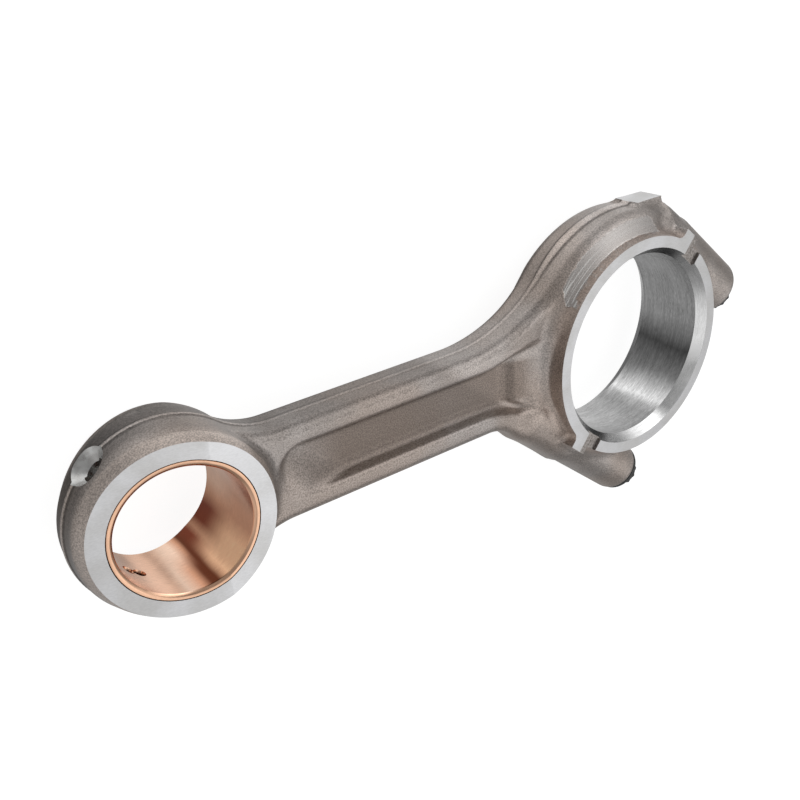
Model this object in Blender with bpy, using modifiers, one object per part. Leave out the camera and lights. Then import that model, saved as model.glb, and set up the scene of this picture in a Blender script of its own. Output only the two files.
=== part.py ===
"""Connecting rod of a truck diesel: forged rod, obliquely split cap, bush and two cap bolts.

The rod lies flat, bore axes along +Z and shank along X. Everything is first drawn about the
small-end bore centre at mid thickness. Then one empty moves it so that the underside's centre
is the origin.
"""
import math

import bmesh
import bpy
from mathutils import Matrix, Vector

MM = 0.001
GAP = 0.3 * MM                    # clearance between touching pieces

# Rod as a whole
CENTRES = 256 * MM                # small-end centre to big-end centre
SPLIT_ANGLE = math.radians(50)    # parting plane to the shank axis

# Small end
PIN_RADIUS = 27.5 * MM
BUSH_RADIUS = 30.2 * MM
BUSH_CHAMFER = 1.2 * MM
EYE_FACE_RADIUS = 37.6 * MM       # machined face
EYE_EDGE_RADIUS = 40.2 * MM       # outer edge of the forged bevel
EYE_RADIUS = 41.5 * MM            # at the forging's parting line
EYE_HALF = 22.25 * MM
EYE_BEVEL_DROP = 5.5 * MM
TAPER_START = 13.3 * MM           # the faces lean inwards on the outer side of this line
TAPER = 0.1575                    # lean, as rise over run

# Oil funnels and drillings of the small end
FUNNEL_ANGLES = (math.radians(130), math.radians(-130))
FUNNEL_RIM_RADIUS = 9.6 * MM
FUNNEL_FLOOR_RADIUS = 4.9 * MM
FUNNEL_FLOOR_AT = 35.5 * MM       # distance of its floor from the pin axis
DRILLING_RADIUS = 2.2 * MM
DRILLING_SPREAD = math.radians(4.4)

# Shank
SHANK_HALF_WIDTH = 21 * MM
SHANK_HALF = 12 * MM
FLANGE_EDGE = 2.5 * MM            # rounded edge of a flange
DRAFT = math.tan(math.radians(7))
EYE_FILLET = 38 * MM
SHOULDER_FILLET = 60 * MM
KNEE_FILLET = 20 * MM
RECESS_HALF_WIDTH = 12.5 * MM
RECESS_WIDE = 19 * MM
RECESS_WALL = 3 * MM              # run of the sloping wall
RECESS_START = 45.5 * MM
RECESS_FLARE = (150 * MM, 178 * MM)
WEB_HALF = 4 * MM
APRON_HALF = 9.5 * MM             # raised floor in front of the big end
RECESS_END_RADIUS = 76 * MM       # from the crank axis
APRON_END_RADIUS = 63.5 * MM

# Big end
CRANK_RADIUS = 49 * MM
CRANK_CHAMFER = 3.6 * MM
CRANK_CHAMFER_DEPTH = 4.9 * MM
RING_FACE_RADIUS = 58.5 * MM
RING_FOOT_RADIUS = 63.5 * MM
RING_HALF = 22.85 * MM
RING_STOCK = 1 * MM               # forged metal above the machined faces
RING_INNER_RADIUS = 38 * MM       # before boring
SHOULDER_RADIUS = 71 * MM
SHOULDER_START = 76               # degrees round the crank axis from +X
PAD_Y = 71.9 * MM
PAD_X = (265.5 * MM, 284 * MM)
PAD_HALF = 7 * MM
FOOT_REACH = 63.3 * MM            # face corners beside the parting
FOOT_START = 52 * MM
FOOT_LENGTH = 13 * MM
SLOT_HALF = 5.7 * MM              # relief slot across the parting
SLOT_DEPTH = 1.6 * MM
SLOT_SPAN = (45 * MM, 70 * MM)    # from the crank axis

# How far each solid of the rod half runs past the parting plane before it is cut there. They
# differ so that no end faces coincide.
SHOULDER_PAST = 2 * MM
FOOT_PAST = 3 * MM
BOSS_PAST = 5 * MM

# Bolts and their bosses
BOLT_OFFSET = 58.5 * MM           # bolt axis to crank axis
BOSS_RADIUS = 14.6 * MM
BOSS_PROUD = 0.6 * MM             # bosses stand out from the shoulder's side
SEAT = 59.5 * MM                  # bolt seat to parting plane
UPPER_BOSS_START = -24 * MM
UPPER_SIDE_START = -20 * MM       # where the shoulder's side meets the upper boss
LOWER_BOSS_START = -46 * MM
BOLT_RADIUS = 7 * MM
BOLT_WAIST = 6.3 * MM
BOLT_DEPTH = 26 * MM              # engagement in the rod
BOLT_LAND = 14 * MM               # full diameter below the head
BOLT_THREAD_START = 10 * MM       # of the thread, on the cap's side of the parting plane
BOLT_STEP = 2 * MM                # length of the cone between waist and full diameter
BOLT_EDGE = 1 * MM                # chamfer
THREAD_HOLE_RADIUS = 7.35 * MM
THREAD_HOLE_DEPTH = 30 * MM
CLEARANCE_HOLE_RADIUS = 7.7 * MM
FLANGE_RADIUS = 13.2 * MM
FLANGE_HEIGHT = 3 * MM
HEAD_RADIUS = 9.4 * MM
HEAD_ROOT_RADIUS = 8.4 * MM
HEAD_HEIGHT = 8 * MM
HEAD_POINTS = 12

ROUND = 72                        # segments of a large circle
SMALL_ROUND = 32
REACH = 120 * MM                  # cutters run this far past what they cut
OVERLAP = 1 * MM                  # solids that join, and cutters that leave a face, run past it

ALONG_SPLIT = Vector((math.cos(SPLIT_ANGLE), math.sin(SPLIT_ANGLE), 0))
CAPWARD = Vector((math.sin(SPLIT_ANGLE), -math.cos(SPLIT_ANGLE), 0))
CRANK_CENTRE = Vector((CENTRES, 0, 0))


def split_point(u, v, z=0.0):
    """Point given along the parting line, square to it towards the cap, and up."""
    return CRANK_CENTRE + u * ALONG_SPLIT + v * CAPWARD + Vector((0, 0, z))


def arc(centre, radius, start, end, steps):
    """Points on an arc, its ends included, with angles in degrees."""
    angles = [math.radians(start + (end - start) * i / steps) for i in range(steps + 1)]
    return [(centre[0] + radius * math.cos(a), centre[1] + radius * math.sin(a)) for a in angles]


def inset(outline, distance):
    """Moves an anticlockwise outline inwards by a distance."""
    moved = []
    for i, here in enumerate(outline):
        before = Vector(here) - Vector(outline[i - 1])
        after = Vector(outline[(i + 1) % len(outline)]) - Vector(here)
        normal = (before.normalized() + after.normalized()).orthogonal().normalized()
        lean = max(0.5, normal.dot(before.orthogonal().normalized()))
        moved.append(Vector(here) + normal * distance / lean)
    return [tuple(point) for point in moved]


def at_height(outline, z):
    """Lifts a flat outline to a height."""
    return [(x, y, z) for x, y in outline]


# ---------------------------------------------------------------- scene and object helpers

def start_scene():
    """Empties the scene and makes the collections and the root empty."""
    for old in list(bpy.data.objects):
        bpy.data.objects.remove(old, do_unlink=True)
    for name in ("connecting_rod", "cutters"):
        collection = bpy.data.collections.new(name)
        bpy.context.scene.collection.children.link(collection)
    root = bpy.data.objects.new("connecting_rod_origin", None)
    bpy.data.collections["connecting_rod"].objects.link(root)
    return root


def new_object(name, mesh, cutter, parent):
    """Adds a mesh as a part or as a hidden cutter."""
    thing = bpy.data.objects.new(name, mesh)
    bpy.data.collections["cutters" if cutter else "connecting_rod"].objects.link(thing)
    thing.parent = parent
    thing.hide_render = cutter
    if cutter:
        thing.display_type = "WIRE"
    return thing


def loft(name, loops, parent, cutter=True):
    """Closed solid through loops of equal length, with flat ends."""
    bm = bmesh.new()
    rings = [[bm.verts.new(point) for point in loop] for loop in loops]
    count = len(loops[0])
    for lower, upper in zip(rings, rings[1:]):
        for i in range(count):
            j = (i + 1) % count
            bm.faces.new((lower[i], lower[j], upper[j], upper[i]))
    bm.faces.new(reversed(rings[0]))
    bm.faces.new(rings[-1])
    bmesh.ops.recalc_face_normals(bm, faces=bm.faces)
    mesh = bpy.data.meshes.new(name)
    bm.to_mesh(mesh)
    bm.free()
    return new_object(name, mesh, cutter, parent)


def turned(name, profile, parent, steps=ROUND, cutter=True):
    """Turned solid: a closed profile of (radius, height), outer side first, downwards."""
    mesh = bpy.data.meshes.new(name)
    points = [(radius, 0, height) for radius, height in profile]
    edges = [(i, (i + 1) % len(points)) for i in range(len(points))]
    mesh.from_pydata(points, edges, [])
    thing = new_object(name, mesh, cutter, parent)
    screw = thing.modifiers.new("turn", "SCREW")
    screw.steps = steps
    screw.render_steps = steps
    screw.use_merge_vertices = True
    screw.merge_threshold = 0.00001
    return thing


def rod(name, start, end, start_radius, end_radius, parent, segments=SMALL_ROUND):
    """Solid cylinder or cone between two points."""
    axis = end - start
    bm = bmesh.new()
    bmesh.ops.create_cone(bm, cap_ends=True, segments=segments, radius1=start_radius,
                          radius2=end_radius, depth=axis.length)
    turn = axis.to_track_quat("Z", "Y").to_matrix().to_4x4()
    bm.transform(Matrix.Translation((start + end) / 2) @ turn)
    mesh = bpy.data.meshes.new(name)
    bm.to_mesh(mesh)
    bm.free()
    return new_object(name, mesh, True, parent)


def block(name, low, high, parent, turned_to_split=False):
    """Box between two corners, in rod axes or in parting-plane axes."""
    bm = bmesh.new()
    bmesh.ops.create_cube(bm, size=1)
    size = Vector(high) - Vector(low)
    middle = (Vector(high) + Vector(low)) / 2
    place = Matrix.Translation(middle) @ Matrix.Diagonal((*size, 1))
    if turned_to_split:
        # first axis along the parting line, second towards the cap
        axes = Matrix((ALONG_SPLIT, CAPWARD, Vector((0, 0, -1)))).transposed()
        place = Matrix.Translation(CRANK_CENTRE) @ axes.to_4x4() @ place
    bm.transform(place)
    mesh = bpy.data.meshes.new(name)
    bm.to_mesh(mesh)
    bm.free()
    return new_object(name, mesh, True, parent)


def combine(thing, operation, tools):
    """Joins or cuts an object with a list of others."""
    for tool in tools:
        modifier = thing.modifiers.new(f"{operation.lower()} {tool.name}", "BOOLEAN")
        modifier.operation = operation
        modifier.object = tool


def finish(thing, colour, roughness):
    """Gives a part its metal and shades its round faces smooth."""
    material = bpy.data.materials.new(thing.name)
    material.use_nodes = True
    shader = material.node_tree.nodes["Principled BSDF"]
    shader.inputs["Base Color"].default_value = (*colour, 1)
    shader.inputs["Metallic"].default_value = 1
    shader.inputs["Roughness"].default_value = roughness
    thing.data.materials.append(material)
    thing.data.shade_smooth()
    thing.data.set_sharp_from_angle(angle=math.radians(30))


# ---------------------------------------------------------------- shapes of the forging

def body_outline():
    """Outline at mid thickness of shank and shoulder, anticlockwise."""
    y = SHANK_HALF_WIDTH
    eye_y = y + EYE_FILLET
    eye_x = math.sqrt((EYE_RADIUS + EYE_FILLET) ** 2 - eye_y ** 2)
    eye_turn = math.degrees(math.atan2(eye_y, eye_x))
    lower_eye = arc((eye_x, -eye_y), EYE_FILLET, 180 - eye_turn, 90, 8)

    split = math.degrees(SPLIT_ANGLE)
    side = BOLT_OFFSET + BOSS_RADIUS - BOSS_PROUD
    meet = split_point(-side, 0)
    knee_x = meet.x - (y + meet.y) / CAPWARD.y * CAPWARD.x
    knee_x -= KNEE_FILLET * math.tan(math.radians(90 - split) / 2)
    knee = arc((knee_x, -y - KNEE_FILLET), KNEE_FILLET, 90, split, 6)

    corners = [split_point(-side, SHOULDER_PAST), split_point(side, SHOULDER_PAST),
               split_point(side, UPPER_SIDE_START)]
    shoulder_y = y + SHOULDER_FILLET
    shoulder_x = math.sqrt((SHOULDER_RADIUS + SHOULDER_FILLET) ** 2 - shoulder_y ** 2)
    turn = math.degrees(math.atan2(shoulder_y, -shoulder_x))
    shoulder = arc(CRANK_CENTRE, SHOULDER_RADIUS, SHOULDER_START, turn, 12)
    fillet = arc((CENTRES - shoulder_x, shoulder_y), SHOULDER_FILLET, turn - 180, -90, 10)
    upper_eye = arc((eye_x, eye_y), EYE_FILLET, -90, -180 + eye_turn, 8)
    middle = [(corner.x, corner.y) for corner in corners]
    return lower_eye + knee + middle + shoulder + fillet + upper_eye + [(0, 0)]


def shank_solid(parent):
    """Shank and shoulder with draft on both sides and rounded flange edges."""
    outline = body_outline()
    top = SHANK_HALF - FLANGE_EDGE
    drafted = inset(outline, top * DRAFT)
    flange = inset(outline, top * DRAFT + FLANGE_EDGE)
    levels = [(flange, -SHANK_HALF), (drafted, -top), (outline, 0), (drafted, top), (flange, SHANK_HALF)]
    return loft("rod_body", [at_height(line, z) for line, z in levels], parent, cutter=False)


def eye_solid(parent):
    """Small-end eye whose forged bevel follows the leaning faces."""
    angles = [2 * math.pi * i / ROUND for i in range(ROUND)]
    face, edge, middle = [], [], []
    for angle in angles:
        x = EYE_EDGE_RADIUS * math.cos(angle)
        level = EYE_HALF - TAPER * max(0, TAPER_START - x) - EYE_BEVEL_DROP
        slope = (EYE_EDGE_RADIUS - EYE_FACE_RADIUS) / EYE_BEVEL_DROP
        top_radius = EYE_EDGE_RADIUS - slope * (EYE_HALF - level)
        face.append((top_radius * math.cos(angle), top_radius * math.sin(angle), EYE_HALF))
        edge.append((x, EYE_EDGE_RADIUS * math.sin(angle), level))
        middle.append((EYE_RADIUS * math.cos(angle), EYE_RADIUS * math.sin(angle), 0))
    low_face = [(x, y, -z) for x, y, z in face]
    low_edge = [(x, y, -z) for x, y, z in edge]
    return loft("eye", [low_face, low_edge, middle, edge, face], parent)


def ring_solid(name, parent, cutter=True):
    """Big-end ring before machining, thicker at mid thickness."""
    half = RING_HALF + RING_STOCK
    foot = SHANK_HALF - OVERLAP
    profile = [(RING_FACE_RADIUS, half), (RING_FACE_RADIUS, RING_HALF - RING_STOCK),
               (RING_FOOT_RADIUS, foot), (RING_FOOT_RADIUS, -foot),
               (RING_FACE_RADIUS, RING_STOCK - RING_HALF), (RING_FACE_RADIUS, -half),
               (RING_INNER_RADIUS, -half), (RING_INNER_RADIUS, half)]
    ring = turned(name, profile, parent, cutter=cutter)
    if cutter:
        ring.location = CRANK_CENTRE
    return ring


def recess_outline(radius_at_end):
    """Outline of the I-beam recess on one side, anticlockwise, up to a circle about the crank axis."""
    start, stop = RECESS_FLARE
    end = math.degrees(math.asin(RECESS_WIDE / radius_at_end))
    nose = arc((RECESS_START + RECESS_HALF_WIDTH, 0), RECESS_HALF_WIDTH, 90, 270, 12)
    far = arc(CRANK_CENTRE, radius_at_end, 180 + end, 180 - end, 6)
    return nose + [(start, -RECESS_HALF_WIDTH), (stop, -RECESS_WIDE)] + far + [
        (stop, RECESS_WIDE), (start, RECESS_HALF_WIDTH)]


def recess_cutters(parent):
    """Recess and raised apron on both sides of the shank."""
    cutters = []
    for side, label in ((1, "top"), (-1, "bottom")):
        for name, end, floor in (("recess", RECESS_END_RADIUS, WEB_HALF),
                                 ("apron", APRON_END_RADIUS, APRON_HALF)):
            outline = recess_outline(end)
            wall = RECESS_WALL * (SHANK_HALF - floor) / (SHANK_HALF - WEB_HALF)
            above = SHANK_HALF + OVERLAP
            loops = [at_height(inset(outline, wall), side * floor), at_height(outline, side * SHANK_HALF),
                     at_height(outline, side * above)]
            cutters.append(loft(f"{name} {label}", loops, parent))
    return cutters


# ---------------------------------------------------------------- cutters for the machining

def taper_cutters(parent):
    """Wedges that lean the small end's faces inwards."""
    cutters = []
    for side, label in ((1, "top"), (-1, "bottom")):
        far = -REACH / 2
        drop = EYE_HALF - TAPER * (TAPER_START - far)
        section = [(TAPER_START, EYE_HALF), (far, drop), (far, REACH / 2), (TAPER_START, REACH / 2)]
        loops = [[(x, y, side * z) for x, z in section] for y in (-REACH / 2, REACH / 2)]
        cutters.append(loft(f"taper {label}", loops, parent))
    return cutters


def crank_bore(parent):
    """Big-end bore with its wide chamfers."""
    wide = CRANK_RADIUS + CRANK_CHAMFER
    chamfer_at = RING_HALF - CRANK_CHAMFER_DEPTH
    over = RING_HALF + RING_STOCK
    profile = [(wide, over), (wide, RING_HALF), (CRANK_RADIUS, chamfer_at), (CRANK_RADIUS, -chamfer_at),
               (wide, -RING_HALF), (wide, -over), (0, -over), (0, over)]
    bore = turned("crank bore", profile, parent)
    bore.location = CRANK_CENTRE
    return bore


def oil_cutters(parent):
    """Two funnels and, under each, two drillings through eye and bush."""
    funnels, drillings = [], []
    for number, angle in enumerate(FUNNEL_ANGLES):
        out = Vector((math.cos(angle), math.sin(angle), 0))
        slope = (FUNNEL_RIM_RADIUS - FUNNEL_FLOOR_RADIUS) / (EYE_RADIUS - FUNNEL_FLOOR_AT)
        far = EYE_RADIUS + OVERLAP
        rim = FUNNEL_RIM_RADIUS + slope * (far - EYE_RADIUS)
        funnels.append(rod(f"funnel {number}", out * FUNNEL_FLOOR_AT, out * far,
                           FUNNEL_FLOOR_RADIUS, rim, parent))
        for spread in (-DRILLING_SPREAD, DRILLING_SPREAD):
            way = Vector((math.cos(angle + spread), math.sin(angle + spread), 0))
            inner, outer = way * (PIN_RADIUS - OVERLAP), way * (FUNNEL_FLOOR_AT + OVERLAP)
            drillings.append(rod(f"drilling {len(drillings)}", inner, outer,
                                 DRILLING_RADIUS, DRILLING_RADIUS, parent, segments=16))
    return funnels, drillings


def facing_cutters(parent):
    """Blocks that mill the big end's two faces flat."""
    return [block(f"facing {face}", (CENTRES - REACH, -REACH, low), (CENTRES + REACH, REACH, high), parent)
            for face, low, high in (("top", RING_HALF, REACH), ("bottom", -REACH, -RING_HALF))]


def slot_cutters(parent):
    """Relief slots across the parting on both faces of the ring."""
    cutters = []
    for u_side, where in ((1, "upper"), (-1, "lower")):
        for z_side, face in ((1, "top"), (-1, "bottom")):
            us = sorted(u_side * u for u in SLOT_SPAN)
            zs = sorted(z_side * z for z in (RING_HALF - SLOT_DEPTH, RING_HALF + OVERLAP))
            cutters.append(block(f"slot {where} {face}", (us[0], -SLOT_HALF, zs[0]),
                                 (us[1], SLOT_HALF, zs[1]), parent, turned_to_split=True))
    return cutters


def bolt_holes(parent, name, radius, start, end):
    """Bolt holes on both sides of the crank bore."""
    return [rod(f"{name} {where}", split_point(u, start), split_point(u, end), radius, radius, parent)
            for u, where in ((BOLT_OFFSET, "upper"), (-BOLT_OFFSET, "lower"))]


# ---------------------------------------------------------------- the pieces

def make_rod_body(root, shared):
    """The forging with shank, small-end eye and the rod half of the big end."""
    body = shank_solid(root)
    feet = []
    for side, where in ((1, "upper"), (-1, "lower")):
        us = sorted((side * FOOT_START, side * FOOT_REACH))
        half = RING_HALF + RING_STOCK / 2
        feet.append(block(f"foot {where}", (us[0], -FOOT_LENGTH, -half), (us[1], FOOT_PAST, half),
                          root, turned_to_split=True))
    bosses = [rod(f"rod boss {where}", split_point(u, start), split_point(u, BOSS_PAST),
                  BOSS_RADIUS, BOSS_RADIUS, root)
              for u, start, where in ((BOLT_OFFSET, UPPER_BOSS_START, "upper"),
                                      (-BOLT_OFFSET, LOWER_BOSS_START, "lower"))]
    pad = block("pad", (PAD_X[0], RING_FACE_RADIUS, -PAD_HALF), (PAD_X[1], PAD_Y, PAD_HALF), root)
    eye_bore = rod("eye bore", Vector((0, 0, -REACH / 2)), Vector((0, 0, REACH / 2)),
                   BUSH_RADIUS + GAP, BUSH_RADIUS + GAP, root, segments=ROUND)
    capward_half = block("capward half", (-REACH, -GAP / 2, -REACH / 2), (REACH, REACH, REACH / 2),
                         root, turned_to_split=True)
    combine(body, "DIFFERENCE", recess_cutters(root))
    combine(body, "UNION", [eye_solid(root), ring_solid("rod ring", root)] + bosses + feet + [pad])
    combine(body, "DIFFERENCE", shared["facings"] + shared["tapers"] + [eye_bore, shared["crank bore"]])
    combine(body, "DIFFERENCE", shared["funnels"] + shared["drillings"] + [capward_half])
    combine(body, "DIFFERENCE", shared["slots"])
    combine(body, "DIFFERENCE", bolt_holes(root, "thread hole", THREAD_HOLE_RADIUS,
                                           -THREAD_HOLE_DEPTH, OVERLAP))
    finish(body, (0.33, 0.29, 0.26), 0.5)


def make_cap(root, shared):
    """The cap half of the big end with a bolt boss on each side."""
    slide = bpy.data.objects.new("cap_slide", None)
    bpy.data.collections["connecting_rod"].objects.link(slide)
    slide.parent = root
    slide.location = CRANK_CENTRE
    cap = ring_solid("big_end_cap", slide, cutter=False)
    bosses = [rod(f"cap boss {where}", split_point(u, -BOSS_PAST), split_point(u, SEAT),
                  BOSS_RADIUS, BOSS_RADIUS, root)
              for u, where in ((BOLT_OFFSET, "upper"), (-BOLT_OFFSET, "lower"))]
    rodward_half = block("rodward half", (-REACH, -REACH, -REACH / 2), (REACH, GAP / 2, REACH / 2),
                         root, turned_to_split=True)
    combine(cap, "UNION", bosses)
    combine(cap, "DIFFERENCE", shared["facings"] + [shared["crank bore"], rodward_half])
    combine(cap, "DIFFERENCE", shared["slots"])
    combine(cap, "DIFFERENCE", bolt_holes(root, "clearance hole", CLEARANCE_HOLE_RADIUS,
                                          -OVERLAP, SEAT + OVERLAP))
    finish(cap, (0.33, 0.29, 0.26), 0.5)


def make_bush(root, shared):
    """The bronze bush, cut flush with the leaning faces."""
    inner, half = PIN_RADIUS, EYE_HALF
    profile = [(BUSH_RADIUS, half), (BUSH_RADIUS, -half), (inner + BUSH_CHAMFER, -half),
               (inner, -half + BUSH_CHAMFER), (inner, half - BUSH_CHAMFER), (inner + BUSH_CHAMFER, half)]
    bush = turned("small_end_bush", profile, root, cutter=False)
    combine(bush, "DIFFERENCE", shared["tapers"] + shared["drillings"])
    finish(bush, (0.72, 0.42, 0.27), 0.3)


def make_bolts(root):
    """Two cap bolts: flanged twelve-point head, waisted shank and thread."""
    shank_end = -(SEAT + BOLT_DEPTH)
    thread_start = BOLT_THREAD_START - SEAT
    for u, where in ((BOLT_OFFSET, "upper"), (-BOLT_OFFSET, "lower")):
        profile = [(FLANGE_RADIUS - BOLT_EDGE, FLANGE_HEIGHT), (FLANGE_RADIUS, FLANGE_HEIGHT - BOLT_EDGE),
                   (FLANGE_RADIUS, GAP), (BOLT_RADIUS, GAP), (BOLT_RADIUS, -BOLT_LAND),
                   (BOLT_WAIST, -BOLT_LAND - BOLT_STEP), (BOLT_WAIST, thread_start + BOLT_STEP),
                   (BOLT_RADIUS, thread_start), (BOLT_RADIUS, shank_end + BOLT_EDGE),
                   (BOLT_RADIUS - BOLT_EDGE, shank_end), (0, shank_end), (0, FLANGE_HEIGHT)]
        bolt = turned(f"cap_bolt_{where}", profile, root, steps=SMALL_ROUND, cutter=False)
        star = []
        for i in range(2 * HEAD_POINTS):
            radius = HEAD_RADIUS if i % 2 else HEAD_ROOT_RADIUS
            angle = math.pi * i / HEAD_POINTS
            star.append((radius * math.cos(angle), radius * math.sin(angle)))
        head = loft(f"head {where}", [at_height(star, FLANGE_HEIGHT - BOLT_EDGE),
                                      at_height(star, FLANGE_HEIGHT + HEAD_HEIGHT)], root)
        turn = CAPWARD.to_track_quat("Z", "Y").to_euler()
        for thing in (bolt, head):
            thing.location = split_point(u, SEAT)
            thing.rotation_euler = turn
        combine(bolt, "UNION", [head])
        finish(bolt, (0.05, 0.05, 0.05), 0.45)


def settle(root):
    """Moves everything so that the centre of the underside is the origin."""
    bpy.context.view_layer.update()
    depsgraph = bpy.context.evaluated_depsgraph_get()
    corners = []
    for thing in bpy.data.collections["connecting_rod"].objects:
        if thing.type == "MESH":
            evaluated = thing.evaluated_get(depsgraph)
            corners += [evaluated.matrix_world @ Vector(corner) for corner in evaluated.bound_box]
    low = Vector([min(corner[i] for corner in corners) for i in range(3)])
    high = Vector([max(corner[i] for corner in corners) for i in range(3)])
    root.location = -Vector(((low.x + high.x) / 2, (low.y + high.y) / 2, low.z))


def main():
    root = start_scene()
    funnels, drillings = oil_cutters(root)
    shared = {"tapers": taper_cutters(root), "facings": facing_cutters(root),
              "crank bore": crank_bore(root), "funnels": funnels, "drillings": drillings,
              "slots": slot_cutters(root)}
    make_rod_body(root, shared)
    make_cap(root, shared)
    make_bush(root, shared)
    make_bolts(root)
    settle(root)


main()
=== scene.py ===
"""Connecting rod of a truck diesel, as it looks: forged rod and cap, bronze bush, black cap bolts.

Shapes are worked out in millimetres from the pin axis at mid thickness, with the crank axis along
+X, and then put where the frame's bush and rod are.
"""
import math

import bmesh
import bpy
import numpy as np
from mathutils import Matrix, Vector


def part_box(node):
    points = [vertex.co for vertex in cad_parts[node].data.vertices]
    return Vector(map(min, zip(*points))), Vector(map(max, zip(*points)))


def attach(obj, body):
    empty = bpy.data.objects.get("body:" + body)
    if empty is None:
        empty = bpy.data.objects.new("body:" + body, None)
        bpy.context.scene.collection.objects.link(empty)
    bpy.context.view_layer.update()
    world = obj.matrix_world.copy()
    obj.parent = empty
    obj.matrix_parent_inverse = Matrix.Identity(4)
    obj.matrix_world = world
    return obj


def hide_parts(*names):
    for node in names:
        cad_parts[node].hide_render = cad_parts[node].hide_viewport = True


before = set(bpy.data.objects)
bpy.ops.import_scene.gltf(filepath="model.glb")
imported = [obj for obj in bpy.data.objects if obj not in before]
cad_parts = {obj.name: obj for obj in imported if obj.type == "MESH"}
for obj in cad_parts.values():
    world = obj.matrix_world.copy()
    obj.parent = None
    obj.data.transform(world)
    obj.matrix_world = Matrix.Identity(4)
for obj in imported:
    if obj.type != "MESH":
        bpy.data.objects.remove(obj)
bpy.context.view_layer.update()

MM = 0.001
GAP = 0.15                        # clearance between touching pieces
FAR = 40                          # half height of cutters, past every face

# Rod as a whole
CENTRES = 256
SPLIT_ANGLE = math.radians(50)    # parting plane to the shank

# Small end
PIN_RADIUS = 27.5
BUSH_RADIUS = 30.2
EYE_FACE_RADIUS = 37.6
EYE_EDGE_RADIUS = 40.2
EYE_RADIUS = 40.85
EYE_HALF = 22.25
EYE_BEVEL_DROP = 5.5
TAPER_START = 13.3                # the faces lean inwards on the outer side of this line
TAPER = 0.1575

# Shank
SHANK_TOP = 22.7
SHANK_BOTTOM = -21.9
FLANGE_HALF = 12
SHOULDER_HALF = 13
DRAFT = math.tan(math.radians(2.5))
FLASH_HALF = 0.8
FLASH_SPREAD = 1.5                # wider by this on the shoulder
SPREAD_X = (192, 222)
EYE_FILLET = 38
EYE_ROOT = 8                      # fillet between the flange and the eye's wall
SHOULDER_FILLET = 78
KNEE_FILLET = 20
FLANGE_ROUND = 5
RECESS_HALF_WIDTH = 12.7
RECESS_CENTRE = 0.7
RECESS_WIDE = 20                  # half width by the big end
RECESS_FLARE = (156, 200)         # it widens between these
RECESS_NOSE = 58                  # centre of its round end
RECESS_SLOPE = 0.35
RECESS_ROOT = 3.2                 # fillet of its floor
RECESS_LIP = 1.7                  # rounding of its edge
RUN_OUT = (42, 74)                # its floor comes up by the eye between these
RUN_OUT_SKEW = 1.1
RUN_OUT_SHARE = 0.9               # of the flange's height above the web
WEB_HALF = 4
APRON_START = 176                 # middle of the step up to the apron
APRON_STEP = 5                    # half length of that step
APRON_SIDE = (-14, -7)            # its lower side, which runs down by half its length
APRON_HALF = 6.5
APRON_RISE = 0.28                 # slope from there to the ring

# Big end
CRANK_RADIUS = 49
CRANK_CHAMFER = 3.6
CRANK_CHAMFER_DEPTH = 4.9
RING_FACE_RADIUS = 58.5
RING_HALF = 22.85
RING_DRAFT = 0.22
RING_DRAFT_BY_SHANK = 0.07
RING_BY_SHANK = (130, 158)        # degrees from +X between which the draft changes
SHOULDER_RADIUS = 70.7
SHOULDER_EDGE = 70                # radius at which its dressed top is SHOULDER_HALF high
CROWN_TURNS = (66, 84, 134, 160)  # degrees from +X: metal left for dressing starts, is full, and ends
SHOULDER_SLOPE = 0.52             # of the dressed band on top of the shoulder
DRESSED_TURNS = (72, 98, 118, 148)  # the band's start, full width between two turns, and end
DRESSED_RADIUS = 65
DRESSED_HALF = 8
PAD_Y = 71.9
PAD_X = (265.5, 284)
PAD_HALF = 7
PAD_ROOT = 50                     # it starts inside the shoulder
BIG_END_X = (130, 400)            # room round the big end, for facing tools
BIG_END_Y = 130

# Relief slots on the parting line, and the raised feet beside them
SLOT_ALONG = (44, 72)
SLOT_HALF = 5.6
SLOT_DEPTH = 1.6
FOOT_ALONG = 57
FOOT_HALF = 6.2
FOOT_ACROSS = -4
FOOT_DEEP = 9

# Bolts and bosses
BOLT_OFFSET = 58.5
BOSS_RADIUS = 14.6
ROD_BOSSES = ((1, -24, 4), (-1, -44, 6))  # side, start from the parting plane, fillet
CAP_BOSSES = ((1, 16.3), (-1, 14.1))      # side and radius
BOSS_PAST = 8                     # the rod's bosses are made past the plane and sawn
SLAB_INSET = 3                    # the shoulder's slab keeps inside the bosses by this
KNEE_INSET = 0.2                  # and by this at the knee
KNEE_RUN = (24, 44)               # distances from the parting plane between which it changes
SLAB_PAST = 4
SLAB_LOWER, SLAB_UPPER = -62, -20  # where it starts below and above the shank
SEAT = 59.5
SEAT_RADIUS = 20

TAPPED_RADIUS = 7.4
TAPPED_DEPTH = 30
DRILL_POINT = 4
CLEARANCE_RADIUS = 7.7
BOLT_RADIUS = 7.0
BOLT_DEPTH = 26                   # engagement in the rod
TIP_RADIUS = 5.6
THREAD_PITCH = 1.5
THREAD_DEPTH = 0.85
THREAD_LENGTH = 36
THREAD_STEP = 0.25                # height between its rings
THREAD_LEAD_IN = 1.3              # radius gained per height from the tip
WAIST = 6.3
FLANGE_RADIUS = 13.2
HEAD_POINTS = 12
HEAD_TIP = 9.4
HEAD_ROOT = 8.4
BOLT_ROUND = 144                  # points round a bolt

# Oil ways: two funnels in the eye's wall, each over two drillings
FUNNEL_TURNS = (130, -130)
FUNNEL_FLOOR = 36.4               # from the pin axis
FUNNEL_PROFILE = ((0, 12), (17, 12), (4.6, 0), (4.2, -0.3), (4.2, -4.5), (0, -4.5))
DRILLING_SPREAD = 5.4
DRILLING_RADIUS = 2.2
DRILLING_REACH = (20, 37)
DRILLING_MOUTH = (27.4, 28.6)     # its flared mouth in the bush
DRILLING_FLARE = 0.6

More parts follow.
